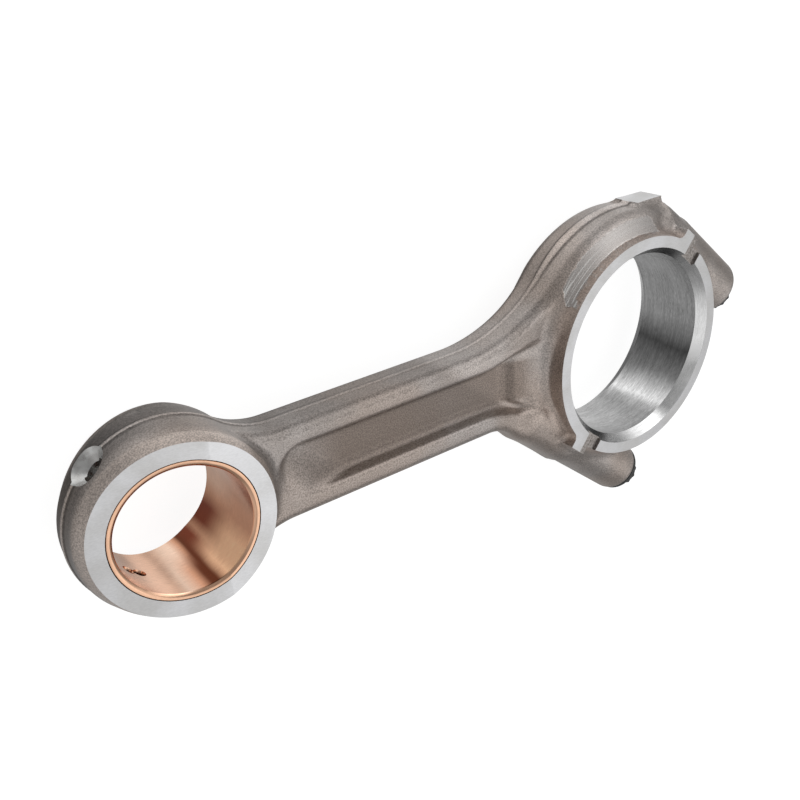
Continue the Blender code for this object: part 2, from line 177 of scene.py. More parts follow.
ROUND = 256                       # points round a large circle
HOLE_ROUND = 64
COVE_SIDES = 64

# Camera, from the pin axis at mid thickness
CAMERA_AT = (-101.06, 195.25, 313.74)
CAMERA_TURN = (-23.388, -36.398, -4.446)
LENS = 41.806

STEP = 0.8                        # pitch of the sampling grid
ROD_ROOM = ((-44, -62, -25), (312, 76, 25))
CAP_ROOM = ((200, -98, -25), (356, 62, 25))
SAWN_PAST = 3                     # both halves are sampled this far past the parting plane

PIN_CENTRE = sum(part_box("small_end_bush"), Vector()) / 2
CRANK_AT = (CENTRES * MM, 0, 0)
ALONG_SPLIT = (math.cos(SPLIT_ANGLE), math.sin(SPLIT_ANGLE))
CAPWARD = (math.sin(SPLIT_ANGLE), -math.cos(SPLIT_ANGLE))


# ---------------------------------------------------------------- distance fields

def join(a, b, radius):
    """Union of two fields with a round fillet."""
    corner = np.hypot(np.maximum(radius - a, 0), np.maximum(radius - b, 0))
    return np.maximum(radius, np.minimum(a, b)) - corner


def meet(a, b, radius):
    """Intersection of two fields with a rounded edge."""
    return -join(-a, -b, radius)


def smooth_step(value, start, end):
    """0 before start, 1 after end, with an easy curve between."""
    t = np.clip((value - start) / (end - start), 0, 1)
    return t * t * (3 - 2 * t)


def split_axes(x, y):
    """Distances along the parting line and square to it, towards the cap."""
    dx, dy = x - CENTRES, y
    return dx * ALONG_SPLIT[0] + dy * ALONG_SPLIT[1], dx * CAPWARD[0] + dy * CAPWARD[1]


def face_level(x):
    """Half thickness of the small end, which leans inwards on its outer side."""
    return EYE_HALF - TAPER * np.maximum(0, TAPER_START - x)


def flash(x, z):
    """Height of the trimmed flash round the forging: faint on the shank, a broad band on the shoulder."""
    tall = 0.6 - 0.35 * smooth_step(x, 28, 52) * (1 - smooth_step(x, 190, 212))
    edge = FLASH_HALF + FLASH_SPREAD * smooth_step(x, *SPREAD_X)
    return tall * (1 - smooth_step(z, edge, edge + 0.8))


def eye_field(x, y, z):
    """Small end: drafted wall with a broad forged bevel below each face."""
    r = np.hypot(x, y)
    level = face_level(x) - EYE_BEVEL_DROP
    wall = r - EYE_RADIUS + (EYE_RADIUS - EYE_EDGE_RADIUS) * z / level - flash(x, z)
    lean = math.atan2(EYE_EDGE_RADIUS - EYE_FACE_RADIUS, EYE_BEVEL_DROP)
    bevel = (r - EYE_EDGE_RADIUS) * math.cos(lean) + (z - level) * math.sin(lean)
    return meet(meet(wall, bevel, 1.5), z - EYE_HALF - 1, 0.5)


def web(x, y, centre, radius, start, end):
    """Fillet beyond a circle's arc, between two directions from its centre in degrees."""
    dx, dy = x - centre[0], y - centre[1]
    a, b = math.radians(start), math.radians(end)
    before = dx * math.sin(a) - dy * math.cos(a)
    after = dy * math.cos(b) - dx * math.sin(b)
    inner = -y if centre[1] > 0 else y
    return np.maximum(np.maximum(radius - np.hypot(dx, dy), np.maximum(before, after)), inner)


def fillet_beside(line_y, circle_x, circle_radius, radius):
    """Centre of the fillet between a line along X and a circle on the X axis, and its two directions."""
    sign = 1 if line_y > 0 else -1
    y = line_y + sign * radius
    run = math.sqrt((circle_radius + radius) ** 2 - y ** 2)
    x = circle_x + (run if circle_x < CENTRES / 2 else -run)
    to_circle = math.degrees(math.atan2(-y, circle_x - x))
    return (x, y), radius, *sorted((-90 * sign, to_circle))


def outline_field(x, y):
    """Outline of eye, shank and shoulder at mid thickness."""
    u, v = split_axes(x, y)
    side = BOLT_OFFSET + BOSS_RADIUS - SLAB_INSET
    knee_side = side + (SLAB_INSET - KNEE_INSET) * smooth_step(-v, *KNEE_RUN)
    shank = np.maximum(np.maximum(y - SHANK_TOP, SHANK_BOTTOM - y), np.maximum(-x, x - CENTRES))
    lower = np.maximum(np.maximum(-knee_side - u, u), np.maximum(v - SLAB_PAST, SLAB_LOWER - v))
    upper = np.maximum(np.maximum(u - side, -u), np.maximum(v - SLAB_PAST, SLAB_UPPER - v))
    outline = np.minimum(np.minimum(shank, np.hypot(x, y) - EYE_RADIUS),
                         np.minimum(lower, np.hypot(x - CENTRES, y) - SHOULDER_RADIUS))
    outline = join(outline, upper, 2)
    for line_y in (SHANK_TOP, SHANK_BOTTOM):
        outline = np.minimum(outline, web(x, y, *fillet_beside(line_y, 0, EYE_RADIUS, EYE_FILLET)))
    above = fillet_beside(SHANK_TOP, CENTRES, SHOULDER_RADIUS, SHOULDER_FILLET)
    outline = np.minimum(outline, web(x, y, *above))
    knee_y = SHANK_BOTTOM - KNEE_FILLET
    knee_x = CENTRES + (-BOLT_OFFSET - BOSS_RADIUS - KNEE_FILLET - knee_y * ALONG_SPLIT[1]) / ALONG_SPLIT[0]
    return np.minimum(outline, web(x, y, (knee_x, knee_y), KNEE_FILLET, math.degrees(SPLIT_ANGLE), 90))


def slab_field(x, y, z):
    """Shank and shoulder, drafted from the flash line, with round flange edges; also the wall alone."""
    r = np.hypot(x - CENTRES, y)
    turn = np.degrees(np.arctan2(y, x - CENTRES))
    wall = (outline_field(x, y) + DRAFT * z) * math.cos(math.atan(DRAFT)) - flash(x, z)
    begin, full, fade, stop = CROWN_TURNS
    dressed = smooth_step(turn, begin, full) * (1 - smooth_step(turn, fade, stop)) * (r < 100)
    crown = 1.6 + SHOULDER_SLOPE * np.clip(SHOULDER_EDGE - r, 0, 8)
    return meet(wall, z - FLANGE_HALF - crown * dressed, FLANGE_ROUND), wall


def ring_field(x, y, z):
    """Ring of the big end, before facing and boring."""
    r = np.hypot(x - CENTRES, y)
    to_shank = smooth_step(np.abs(np.degrees(np.arctan2(y, x - CENTRES))), *RING_BY_SHANK)
    draft = RING_DRAFT + (RING_DRAFT_BY_SHANK - RING_DRAFT) * to_shank
    wall = (r - RING_FACE_RADIUS - draft * (RING_HALF - z)) / np.hypot(1, draft)
    return np.maximum(np.maximum(wall, z - RING_HALF - 1), 40 - r)


def boss_field(x, y, z, side, start, end, radius=BOSS_RADIUS):
    """Bolt boss on one side of the crank bore, between two distances from the parting plane."""
    u, v = split_axes(x, y)
    wall = np.hypot(u - side * BOLT_OFFSET, z) - radius
    return meet(meet(wall, v - end, 4), start - v, 10)


def recess_field(x, y, z):
    """Space of the I-section's recess and of the raised apron in front of the big end."""
    across = np.abs(y - RECESS_CENTRE)
    half = RECESS_HALF_WIDTH + (RECESS_WIDE - RECESS_HALF_WIDTH) * smooth_step(x, *RECESS_FLARE)
    nose = np.hypot(x - RECESS_NOSE, y - RECESS_CENTRE) - RECESS_HALF_WIDTH
    outline = np.where(x < RECESS_NOSE, nose, across - half)
    past = x - APRON_START
    raised = smooth_step(past, -APRON_STEP, APRON_STEP) * smooth_step(y + past / 2, *APRON_SIDE)
    apron = APRON_HALF - WEB_HALF + APRON_RISE * np.clip(past, 0, 30)
    run_out = 1 - smooth_step(x + RUN_OUT_SKEW * y, *RUN_OUT)
    floor = WEB_HALF + apron * raised + (FLANGE_HALF - WEB_HALF) * run_out * RUN_OUT_SHARE
    wall = (outline + RECESS_SLOPE * (FLANGE_HALF - z)) / math.hypot(1, RECESS_SLOPE)
    return meet(wall, floor - z, RECESS_ROOT)


def dressed_plane(r, turn, z):
    """Cone that the shoulder's top is ground to, out of reach beyond the ends of the ground band."""
    begin, full, fade, stop = DRESSED_TURNS
    lean = math.atan(SHOULDER_SLOPE)
    towards_end = np.clip(np.maximum((turn - fade) / (stop - fade), (full - turn) / (full - begin)), 0, 1)
    half = DRESSED_HALF * np.sqrt(1 - towards_end ** 2)
    beside = np.maximum(0, np.abs(r - DRESSED_RADIUS) - half)
    plane = (z - SHOULDER_HALF) * math.cos(lean) + (r - SHOULDER_EDGE) * math.sin(lean) - beside
    return np.where((turn > begin) & (turn < stop) & (r < SHOULDER_EDGE + 6), plane, -20)


def rod_field(x, y, z):
    """Rod forging and, second, how deep its shoulder is ground."""
    z = np.abs(z)
    u, v = split_axes(x, y)
    r = np.hypot(x - CENTRES, y)
    turn = np.degrees(np.arctan2(y, x - CENTRES))
    slab, wall = slab_field(x, y, z)
    body = meet(slab, -recess_field(x, y, z), RECESS_LIP)
    body = join(body, eye_field(x, y, z), EYE_ROOT * np.clip(-wall / EYE_ROOT, 0.02, 1))
    for side, start, fillet in ROD_BOSSES:
        body = join(body, boss_field(x, y, z, side, start, BOSS_PAST), fillet)
    ring = ring_field(x, y, z)
    body = join(body, ring, 5 + 3 * smooth_step(y, 0, 20) * smooth_step(turn, 120, 145))
    plane = dressed_plane(r, turn, z)
    depth = np.minimum(plane - body, ring)
    body = np.minimum(np.maximum(body, plane), ring)
    foot_end = np.maximum(np.abs(v - FOOT_ACROSS) - FOOT_DEEP, z - RING_HALF - 1)
    body = join(body, np.maximum(np.abs(np.abs(u) - FOOT_ALONG) - FOOT_HALF, foot_end), 3)
    pad_x = np.abs(x - sum(PAD_X) / 2) - (PAD_X[1] - PAD_X[0]) / 2
    pad = np.maximum(np.maximum(pad_x, z - PAD_HALF), np.maximum(y - PAD_Y - 1, PAD_ROOT - y))
    body = join(body, pad, 4)
    return np.maximum(body, v - SAWN_PAST), depth


def cap_field(x, y, z):
    """Cap forging, which has no ground band."""
    z = np.abs(z)
    body = ring_field(x, y, z)
    for side, radius in CAP_BOSSES:
        body = join(body, boss_field(x, y, z, side, -6, SEAT + 1, radius), 6)
    v = split_axes(x, y)[1]
    return np.maximum(body, -SAWN_PAST - v), np.full_like(body, -1)


def sample(field, points):
    """Values of a field at scattered points."""
    return field(points[:, 0], points[:, 1], points[:, 2])


def close_checkers(values):
    """Fills grid faces whose corners alternate, which would pinch the mesh to a shared edge."""
    for one, two in ((0, 1), (1, 2), (2, 0)):
        grid = np.moveaxis(values, (one, two), (0, 1))
        inside = grid < 0
        a, b, c, d = inside[:-1, :-1], inside[1:, :-1], inside[:-1, 1:], inside[1:, 1:]
        at = np.nonzero((a == d) & (b == c) & (a != b))
        for i, j in ((0, 0), (0, 1), (1, 0), (1, 1)):
            corner = (at[0] + i, at[1] + j, *at[2:])
            grid[corner] = np.minimum(grid[corner], -1e-4)


def skin(name, field, low, high):
    """Closed quad mesh on a field's zero level, with vertices set on the level itself."""
    axes = [np.arange(a, b + STEP, STEP) for a, b in zip(low, high)]
    values = field(axes[0][:, None, None], axes[1][None, :, None], axes[2][None, None, :])[0]
    for _ in range(3):
        close_checkers(values)
    inside = values < 0
    corners = [np.array((i, j, k)) for i in (0, 1) for j in (0, 1) for k in (0, 1)]
    size = np.array(values.shape) - 1
    filled = sum(inside[i:size[0] + i, j:size[1] + j, k:size[2] + k].astype(np.int8)
                 for i, j, k in corners)
    cells = np.argwhere((filled > 0) & (filled < 8))
    at = np.stack([values[tuple((cells + corner).T)] for corner in corners], axis=1)
    points, hits = np.zeros((len(cells), 3)), np.zeros(len(cells))
    for a in range(8):
        for b in range(a + 1, 8):
            if np.abs(corners[a] - corners[b]).sum() == 1:
                crossed = (at[:, a] < 0) != (at[:, b] < 0)
                t = np.where(crossed, at[:, a] / np.where(crossed, at[:, a] - at[:, b], 1), 0)
                points += crossed[:, None] * (corners[a] + t[:, None] * (corners[b] - corners[a]))
                hits += crossed
    points = (points / hits[:, None] + cells) * STEP + np.array(low)

    index = np.full(size, -1, dtype=np.int64)
    index[tuple(cells.T)] = np.arange(len(cells))
    quads = []
    for axis in range(3):
        one, two = np.eye(3, dtype=int)[(axis + 1) % 3], np.eye(3, dtype=int)[(axis + 2) % 3]
        here = np.take(inside, range(size[axis]), axis)
        beyond = np.take(inside, range(1, size[axis] + 1), axis)
        edges = np.argwhere(here != beyond)
        around = [edges - one - two, edges - two, edges, edges - one]
        quad = np.stack([index[tuple(cell.T)] for cell in around], axis=1)
        outward = here[tuple(edges.T)]
        quads.append(np.where(outward[:, None], quad, quad[:, ::-1]))
    for _ in range(2):
        points -= level_step(field, points)

    mesh = bpy.data.meshes.new(name)
    mesh.from_pydata((points * MM).tolist(), [], np.concatenate(quads).tolist())
    ground = mesh.attributes.new("ground", "FLOAT", "POINT")
    ground.data.foreach_set("value", sample(field, points)[1].astype(np.float32))
    return mesh


def level_step(field, points):
    """Step that takes points onto the zero level."""
    reach = 0.05
    here = sample(field, points)[0]
    slope = np.stack([(sample(field, points + reach * axis)[0] - sample(field, points - reach * axis)[0])
                      / (2 * reach) for axis in np.eye(3)], axis=1)
    steep = np.maximum((slope ** 2).sum(axis=1), 0.2)
    return np.clip(here / steep, -STEP / 2, STEP / 2)[:, None] * slope


# ---------------------------------------------------------------- tools for machining

def to_frame(point):
    """Millimetres from the pin axis to metres in the frame."""
    return PIN_CENTRE + Vector(point) * MM


def split_point(u, v):
    """Point at mid thickness, by distances along the parting line and square to it towards the cap."""
    return Vector((CENTRES + u * ALONG_SPLIT[0] + v * CAPWARD[0], u * ALONG_SPLIT[1] + v * CAPWARD[1], 0))


def new_object(name, mesh):
    """Adds an object whose own axes start at the pin axis."""
    thing = bpy.data.objects.new(name, mesh)
    thing.location = PIN_CENTRE
    bpy.context.scene.collection.objects.link(thing)
    return thing


def turn_outwards(bm):
    """Makes a closed mesh's faces point out."""
    bm.normal_update()
    if bm.calc_volume(signed=True) < 0:
        bmesh.ops.reverse_faces(bm, faces=bm.faces)


def closed_mesh(name, bm):
    """Mesh in metres, its faces pointing out, from a closed bmesh in millimetres."""
    turn_outwards(bm)
    bm.transform(Matrix.Scale(MM, 4))
    mesh = bpy.data.meshes.new(name)
    bm.to_mesh(mesh)
    bm.free()
    return mesh


def tool_object(name, bm, finish):
    """Turns a closed bmesh, in millimetres, into a cutter whose cuts get a finish."""
    for face in bm.faces:
        face.material_index = FINISHES.index(finish)
    return new_object(name, closed_mesh(name, bm))


def turned(profile, finish, centre=(0, 0, 0), axis=(0, 0, 1), segments=ROUND):
    """Turned cutter: a profile of (radius, height) from axis to axis, about a line."""
    bm = bmesh.new()
    points = [bm.verts.new((radius, 0, height)) for radius, height in profile]
    edges = [bm.edges.new(pair) for pair in zip(points, points[1:])]
    bmesh.ops.spin(bm, geom=points + edges, axis=(0, 0, 1), cent=(0, 0, 0), steps=segments,
                   angle=2 * math.pi, use_merge=True)
    bmesh.ops.remove_doubles(bm, verts=bm.verts, dist=1e-5)
    turn = Vector(axis).to_track_quat("Z", "Y").to_matrix().to_4x4()
    bm.transform(Matrix.Translation(Vector(centre)) @ turn)
    return tool_object("turned", bm, finish)


def block(low, high, finish, at_split=False):
    """Box cutter in rod axes, or in the parting plane's axes."""
    bm = bmesh.new()
    bmesh.ops.create_cube(bm, size=1)
    size, middle = Vector(high) - Vector(low), (Vector(high) + Vector(low)) / 2
    place = Matrix.Translation(middle) @ Matrix.Diagonal((*size, 1))
    if at_split:
        axes = Matrix(((*ALONG_SPLIT, 0), (*CAPWARD, 0), (0, 0, -1))).transposed()
        place = Matrix.Translation((CENTRES, 0, 0)) @ axes.to_4x4() @ place
    bm.transform(place)
    return tool_object("block", bm, finish)


def cut(thing, tools):
    """Cuts an object with tools and removes them."""
    for tool in tools:
        modifier = thing.modifiers.new("cut", "BOOLEAN")
        modifier.operation = "DIFFERENCE"
        modifier.solver = "MANIFOLD"
        modifier.object = tool
    bpy.context.view_layer.update()
    evaluated = thing.evaluated_get(bpy.context.evaluated_depsgraph_get())
    thing.data = bpy.data.meshes.new_from_object(evaluated)
    thing.modifiers.clear()
    for tool in tools:
        bpy.data.objects.remove(tool)


# ---------------------------------------------------------------- materials

class Graph:
    """Shader nodes built up from small steps."""

    def __init__(self, tree):
        self.tree = tree

    def node(self, kind, **values):
        """Adds a node, setting its properties and, for names in title case, its sockets."""
        node = self.tree.nodes.new(kind)
        for key, value in values.items():
            if key.islower():
                setattr(node, key, value)
            else:
                self.feed(node.inputs[key.replace("_", " ")], value)
        return node

    def feed(self, socket, value):
        """Links an output to a socket, or sets the socket."""
        if isinstance(value, bpy.types.NodeSocket):
            self.tree.links.new(value, socket)
        else:
            socket.default_value = value

    def math(self, operation, *values):
        """Arithmetic on numbers and outputs."""
        node = self.tree.nodes.new("ShaderNodeMath")
        node.operation = operation
        for socket, value in zip(node.inputs, values):
            self.feed(socket, value)
        return node.outputs[0]

    def times(self, *values):
        """Product of numbers and outputs."""
        product = values[0]
        for value in values[1:]:
            product = self.math("MULTIPLY", product, value)
        return product

    def vector(self, operation, *values):
        """Arithmetic on vectors."""
        node = self.tree.nodes.new("ShaderNodeVectorMath")
        node.operation = operation
        for socket, value in zip(node.inputs, values):
            self.feed(socket, value)
        return node.outputs["Value" if operation in ("LENGTH", "DOT_PRODUCT") else "Vector"]

    def spread(self, value, low, high, start=0.0, end=1.0):
        """Maps a range smoothly onto another."""
        return self.node("ShaderNodeMapRange", interpolation_type="SMOOTHSTEP", Value=value, From_Min=low,
                         From_Max=high, To_Min=start, To_Max=end).outputs[0]

    def mix(self, share, first, second):
        """Colour between two colours."""
        node = self.tree.nodes.new("ShaderNodeMix")
        node.data_type = "RGBA"
        self.feed(node.inputs[0], share)
        for socket, value in ((node.inputs[6], first), (node.inputs[7], second)):
            self.feed(socket, value if isinstance(value, bpy.types.NodeSocket) else (*value, 1))
        return node.outputs[2]

    def scaled(self, colour, factor):
        """A vector or colour times a number."""
        node = self.tree.nodes.new("ShaderNodeVectorMath")
        node.operation = "SCALE"
        self.feed(node.inputs[0], colour)
        self.feed(node.inputs["Scale"], factor)
        return node.outputs["Vector"]


class Shader(Graph):
    """A Principled material in the piece's own coordinates in metres."""

    def __init__(self, name, colour, metallic, roughness):
        self.material = bpy.data.materials.new(name)
        self.material.use_nodes = True
        super().__init__(self.material.node_tree)
        self.surface = self.tree.nodes["Principled BSDF"]
        self.surface.inputs["Base Color"].default_value = (*colour, 1)
        self.surface.inputs["Metallic"].default_value = metallic
        self.surface.inputs["Roughness"].default_value = roughness
        self.place = self.tree.nodes.new("ShaderNodeTexCoord").outputs["Object"]
        parts = self.node("ShaderNodeSeparateXYZ", Vector=self.scaled(self.place, 1 / MM))
        self.x, self.y, self.z = parts.outputs

    def noise(self, scale, detail, stretch=None, rough=0.5):
        """Even noise, with its pitch given as marks per metre."""
        place = self.place if stretch is None else self.vector("MULTIPLY", self.place, stretch)
        return self.node("ShaderNodeTexNoise", Vector=place, Scale=scale, Detail=detail,
                         Roughness=rough).outputs[0]

    def paint(self, colour):
        """Sets or links the base colour."""
        self.feed(self.surface.inputs["Base Color"], colour)

    def polish(self, roughness):
        """Sets or links the roughness."""
        self.feed(self.surface.inputs["Roughness"], roughness)

    def dulled(self, colour, share, amount):
        """Colour darkened by an amount where share is 1."""
        return self.scaled(colour, self.math("SUBTRACT", 1.0, self.times(share, amount)))

    def bump(self, height, depth, strength):
        """Fine relief, with its depth in metres."""
        node = self.node("ShaderNodeBump", Height=height, Distance=depth, Strength=strength)
        self.feed(self.surface.inputs["Normal"], node.outputs[0])

    def polar(self, centre):
        """Radius in mm and angle in degrees about an upright axis, and the direction of turning round it."""
        arm = self.vector("SUBTRACT", self.place, centre)
        flat = self.vector("MULTIPLY", arm, (1, 1, 0))
        parts = self.node("ShaderNodeSeparateXYZ", Vector=flat)
        angle = self.math("ARCTAN2", parts.outputs[1], parts.outputs[0])
        around = self.vector("CROSS_PRODUCT", (0, 0, 1), flat)
        return (self.math("DIVIDE", self.vector("LENGTH", flat), MM), self.math("DEGREES", angle), around)

    def lay(self, radius, angle, pitch, length):
        """Noise drawn out along circles: marks a pitch apart and some degrees long."""
        place = self.node("ShaderNodeCombineXYZ", X=self.math("DIVIDE", angle, length),
                          Y=self.math("DIVIDE", radius, pitch), Z=self.math("DIVIDE", self.z, pitch))
        return self.node("ShaderNodeTexNoise", Vector=place.outputs[0], Scale=1.0, Detail=4.0).outputs[0]

    def ramp(self, value, stops):
        """Colour or grey by value, eased through (value, colour) stops."""
        low, high = stops[0][0], stops[-1][0]
        share = self.node("ShaderNodeMapRange", Value=value, From_Min=low, From_Max=high).outputs[0]
        node = self.node("ShaderNodeValToRGB", Fac=share)
        elements = node.color_ramp.elements
        elements.remove(elements[1])
        for i, (at, colour) in enumerate(stops):
            element = elements.new((at - low) / (high - low)) if i else elements[0]
            element.position = (at - low) / (high - low)
            element.color = (*colour, 1) if isinstance(colour, tuple) else (colour, colour, colour, 1)
        return node.outputs[0]


def forged_steel():
    """Shot-blasted forging, warm grey and dressed on the shoulder.

    It is browner by the ring. Painted shade darkens the recess, the eye's outer side, the upper flank
    of the shank, the half below the flash away from the shank, the bosses and bands beside the flash.
    """
    s = Shader("forged_steel", (0.38, 0.345, 0.325), 0.85, 0.46)
    grain = s.noise(1500, 2, rough=0.6)
    fine = s.noise(3600, 2)
    blotch = s.noise(60, 3)
    wide = s.noise(16, 2)
    height = s.math("ABSOLUTE", s.z)
    radius, angle, _ = s.polar(CRANK_AT)
    across = s.math("ABSOLUTE", s.math("SUBTRACT", s.y, RECESS_CENTRE))
    # Painted shade in the recess: its floor and walls go darker brown where shade falls.
    recess = s.times(s.spread(across, 12.2, 9), s.spread(height, 11.9, 8), s.spread(s.x, 46, 84),
                     s.spread(s.x, 215, 185, 0.3, 1))
    ring = s.times(s.spread(radius, 64, 60.5), s.spread(height, 12, 19))
    leaning = s.math("MAXIMUM", s.math("SUBTRACT", TAPER_START, s.x), 0.0)
    face = s.math("SUBTRACT", EYE_HALF, s.times(leaning, TAPER))
    bevel = s.times(s.spread(s.math("SUBTRACT", face, height), EYE_BEVEL_DROP + 1, EYE_BEVEL_DROP - 0.5),
                    s.spread(s.polar((0, 0, 0))[0], 46, 43))
    colour = s.mix(s.spread(blotch, 0.3, 0.7), (0.39, 0.35, 0.325), (0.46, 0.42, 0.397))
    colour = s.mix(s.spread(wide, 0.42, 0.62, 0, 0.6), colour, (0.44, 0.36, 0.31))
    colour = s.mix(s.times(recess, 0.8), colour, (0.19, 0.152, 0.128))
    colour = s.mix(s.times(ring, 0.5), colour, (0.42, 0.32, 0.265))
    colour = s.mix(s.times(bevel, 0.75), colour, (0.58, 0.5, 0.45))
    from_flash = s.math("SUBTRACT", height, s.spread(s.x, *SPREAD_X, FLASH_HALF, FLASH_HALF + FLASH_SPREAD))
    on_shank = s.times(s.spread(s.x, 28, 52), s.spread(s.x, 212, 190))
    # Lighter on the trimmed flash, as bare trimmed metal; darker in bands beside it, painted shade on the
    # flanks of the flash ridge.
    trimmed = s.spread(from_flash, 0.4, -0.1)
    beside = s.times(s.spread(from_flash, 0.1, 0.6), s.spread(from_flash, 2.2, 1.0),
                     s.math("SUBTRACT", 1.0, s.times(on_shank, 0.85)))
    flash_trim_and_shade = s.math("SUBTRACT", s.times(trimmed, 0.3), s.times(beside, 0.38))
    colour = s.scaled(colour, s.math("ADD", 1.0, flash_trim_and_shade))
    # Painted shade on the outer side of the eye's wall.
    eye_side_shade = s.times(s.spread(s.x, 12, -24), s.spread(height, 12, 5), s.spread(from_flash, 0.0, 0.5))
    colour = s.dulled(colour, eye_side_shade, 0.5)
    # Painted shade along the upper flank of the shank.
    flank = s.times(s.spread(s.y, 19.3, 20.6), on_shank)
    colour = s.dulled(colour, flank, 0.16)
    off_shank = s.math("SUBTRACT", 1.0, on_shank)
    # Painted shade on the lower half, below the flash, away from the shank.
    under = s.times(s.spread(s.z, -0.6, -2.8), off_shank, s.spread(height, 14, 9))
    colour = s.dulled(colour, under, 0.22)
    along = s.math("ADD", s.times(s.math("SUBTRACT", s.x, CENTRES), ALONG_SPLIT[0]),
                   s.times(s.y, ALONG_SPLIT[1]))
    # Painted shade on the bolt bosses.
    on_boss = s.times(s.spread(s.math("ABSOLUTE", along), 58, 64), s.spread(height, 18, 14))
    colour = s.dulled(colour, on_boss, 0.2)
    colour = s.scaled(colour, s.spread(grain, 0.3, 0.7, 0.68, 1.34))
    colour = s.scaled(colour, s.spread(fine, 0.3, 0.7, 0.86, 1.14))
    depth = s.node("ShaderNodeAttribute", attribute_name="ground").outputs["Fac"]
    ragged = s.math("ADD", depth, s.times(s.math("SUBTRACT", s.noise(400, 4), 0.5), 0.9))
    ground = s.spread(ragged, 0.0, 0.25)
    streak = s.lay(radius, angle, 0.9, 22.0)
    end = s.times(s.spread(angle, 112, 130), s.spread(streak, 0.5, 0.6))
    bare = s.mix(s.times(s.spread(streak, 0.3, 0.7), 0.6), (0.43, 0.405, 0.39), (0.5, 0.48, 0.465))
    bare = s.mix(end, bare, (0.85, 0.84, 0.82))
    s.paint(s.mix(s.times(ground, 0.85), colour, bare))
    rough = s.spread(grain, 0.3, 0.7, 0.33, 0.45)
    s.polish(s.math("SUBTRACT", rough, s.times(ground, 0.1)))
    relief = s.math("ADD", grain, s.times(fine, 0.35))
    s.bump(s.times(relief, s.math("SUBTRACT", 1.0, s.times(ground, 0.75))), 0.00013, 0.9)
    return s.material


def turned_steel(name, centre, stops, roughness, pitch, anisotropy, contrast):
    """Bright steel with fine circular tool marks about an upright axis, and painted reflection bands by
    direction.
    """
    s = Shader(name, (0.5, 0.5, 0.5), 1.0, roughness)
    radius, angle, around = s.polar(centre)
    marks = s.lay(radius, angle, pitch, 3.0)
    long_marks = s.lay(radius, angle, pitch * 3, 14.0)
    cloud = s.noise(70, 4)
    wander = s.math("ADD", angle, s.times(s.math("SUBTRACT", s.noise(55, 2), 0.5), 9.0))
    colour = s.ramp(wander, stops)
    colour = s.scaled(colour, s.spread(marks, 0.3, 0.7, 1 - contrast, 1 + contrast))
    colour = s.scaled(colour, s.spread(long_marks, 0.3, 0.7, 1 - 0.7 * contrast, 1 + 0.7 * contrast))
    s.paint(s.scaled(colour, s.spread(cloud, 0.3, 0.7, 0.9, 1.08)))
    s.polish(s.spread(cloud, 0.3, 0.7, roughness * 0.85, roughness * 1.15))
    s.surface.inputs["Anisotropic"].default_value = anisotropy
    s.feed(s.surface.inputs["Tangent"], around)
    s.bump(marks, 0.000004, 0.6)
    return s.material


def funnel_steel():
    """Countersunk cone, bright from the tool."""
    s = Shader("funnel_steel", (0.55, 0.54, 0.53), 1.0, 0.3)
    cloud = s.noise(260, 3)
    s.paint(s.mix(s.spread(cloud, 0.35, 0.65), (0.45, 0.44, 0.43), (0.62, 0.62, 0.61)))
    s.polish(s.spread(cloud, 0.3, 0.7, 0.22, 0.36))
    s.bump(cloud, 0.000005, 0.5)
    return s.material


def faced_steel():
    """Finely ground flat faces."""
    s = Shader("faced_steel", (0.6, 0.6, 0.605), 1.0, 0.36)
    fine = s.noise(2600, 3, stretch=(0.25, 1, 1))
    cloud = s.noise(60, 4)
    colour = s.mix(s.spread(cloud, 0.35, 0.7), (0.60, 0.60, 0.61), (0.55, 0.545, 0.54))
    s.paint(s.scaled(colour, s.spread(fine, 0.3, 0.7, 0.95, 1.05)))
    s.polish(s.spread(cloud, 0.3, 0.7, 0.33, 0.4))
    s.bump(fine, 0.000003, 0.4)
    return s.material


def dark_steel():
    """Parting faces, slots and hole walls, darkened by oil."""
    s = Shader("parted_steel", (0.2, 0.18, 0.165), 0.9, 0.45)
    fine = s.noise(900, 4)
    s.paint(s.mix(s.spread(fine, 0.3, 0.7), (0.2, 0.18, 0.165), (0.42, 0.39, 0.37)))
    s.bump(fine, 0.00006, 0.6)
    return s.material


